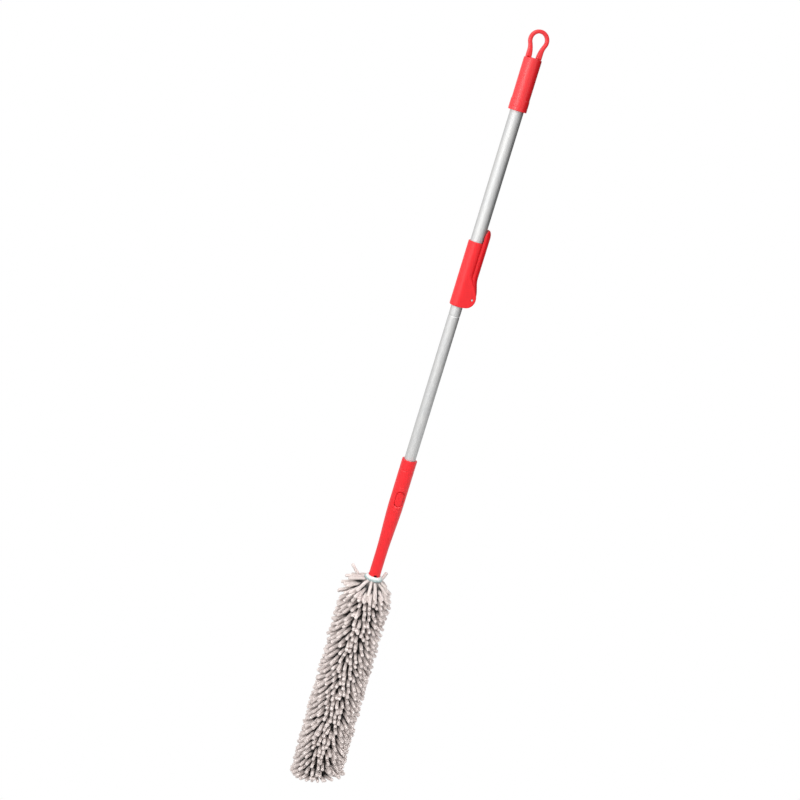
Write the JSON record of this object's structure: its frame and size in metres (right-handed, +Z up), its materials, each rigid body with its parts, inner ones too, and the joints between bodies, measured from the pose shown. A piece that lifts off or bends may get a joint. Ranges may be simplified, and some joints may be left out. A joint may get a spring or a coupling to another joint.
{
  "type": "telescopic duster",
  "caption": "Telescopic aluminium pole with a hanging-loop grip, a flip-lever clamp, a release button and a bendable duster head covered with soft chenille fingers.",
  "frame": {"origin": "the top of the loop's hole, where a hook bears", "axes": "+Z up along the pole, the duster hanging below; +X towards the clamp lever; -Y towards the release button"},
  "size_m": [0.0958, 0.0976, 1.3677],
  "materials": {
    "red_plastic": "satin",
    "dark_plastic": "matte",
    "tube_aluminium": "satin",
    "steel": "satin",
    "elastic": "matte",
    "foam": "matte",
    "chenille": "matte",
    "hem_cloth": "matte"
  },
  "bodies": {
    "handle": {"hang_loop": "red_plastic", "grip": "red_plastic", "outer_tube": "tube_aluminium", "clamp_body": "red_plastic", "lever_pin": "steel", "clamp_rivet": "steel", "wiper_ring": "dark_plastic"},
    "lever": {"clamp_lever": "red_plastic"},
    "brake": {"brake_shoe": "dark_plastic"},
    "pole": {"inner_tube": "tube_aluminium", "guide_bush": "dark_plastic", "pole_plug": "dark_plastic", "button_spring": "steel", "neck_handle": "red_plastic", "core_root": "dark_plastic", "hem_band": "hem_cloth", "hem_elastic": "elastic"},
    "button": {"release_button": "red_plastic"},
    "head_1": {"core_strip_1": "dark_plastic", "foam_pad_1": "foam", "sleeve_1": "chenille"},
    "head_2": {"core_strip_2": "dark_plastic", "foam_pad_2": "foam", "sleeve_2": "chenille"},
    "head_3": {"core_strip_3": "dark_plastic", "foam_pad_3": "foam", "sleeve_3": "chenille"},
    "head_4": {"core_strip_4": "dark_plastic", "foam_pad_4": "foam", "sleeve_4": "chenille", "core_tip": "dark_plastic"}
  },
  "joints": [
    {"name": "pole_slide", "type": "slide", "parent": "handle", "child": "pole", "axis": [0, 0, 1], "range_m": [0, 0.268]},
    {"name": "lever_flip", "type": "hinge", "parent": "handle", "child": "lever", "pos_m": [0.0176, 0, -0.4262], "axis": [0, 1, 0], "range_deg": [0, 110]},
    {"name": "brake_lift", "type": "slide", "parent": "handle", "child": "brake", "axis": [1, 0, 0], "range_m": [0, 0.0006]},
    {"name": "button_press", "type": "slide", "parent": "pole", "child": "button", "axis": [0, 1, 0], "range_m": [0, 0.0042], "stiffness_N_per_m": 600, "springref_m": -0.002, "deforming": ["button_spring"]},
    {"name": "bend_1", "type": "hinge", "parent": "pole", "child": "head_1", "pos_m": [0, 0, -0.9463], "axis": [0, 1, 0], "range_deg": [-20, 20], "stiffness_Nm_per_rad": 2},
    {"name": "bend_2", "type": "hinge", "parent": "head_1", "child": "head_2", "pos_m": [0, 0, -1.0463], "axis": [0, 1, 0], "range_deg": [-20, 20], "stiffness_Nm_per_rad": 2},
    {"name": "bend_3", "type": "hinge", "parent": "head_2", "child": "head_3", "pos_m": [0, 0, -1.1463], "axis": [0, 1, 0], "range_deg": [-20, 20], "stiffness_Nm_per_rad": 2},
    {"name": "bend_4", "type": "hinge", "parent": "head_3", "child": "head_4", "pos_m": [0, 0, -1.2463], "axis": [0, 1, 0], "range_deg": [-20, 20], "stiffness_Nm_per_rad": 2}
  ],
  "couplings": [
    {"joint": "brake_lift", "follows": "lever_flip", "m_per_rad": 0.0003125},
    {"joint": "bend_2", "follows": "bend_1", "ratio": 1},
    {"joint": "bend_3", "follows": "bend_1", "ratio": 1},
    {"joint": "bend_4", "follows": "bend_1", "ratio": 1}
  ]
}
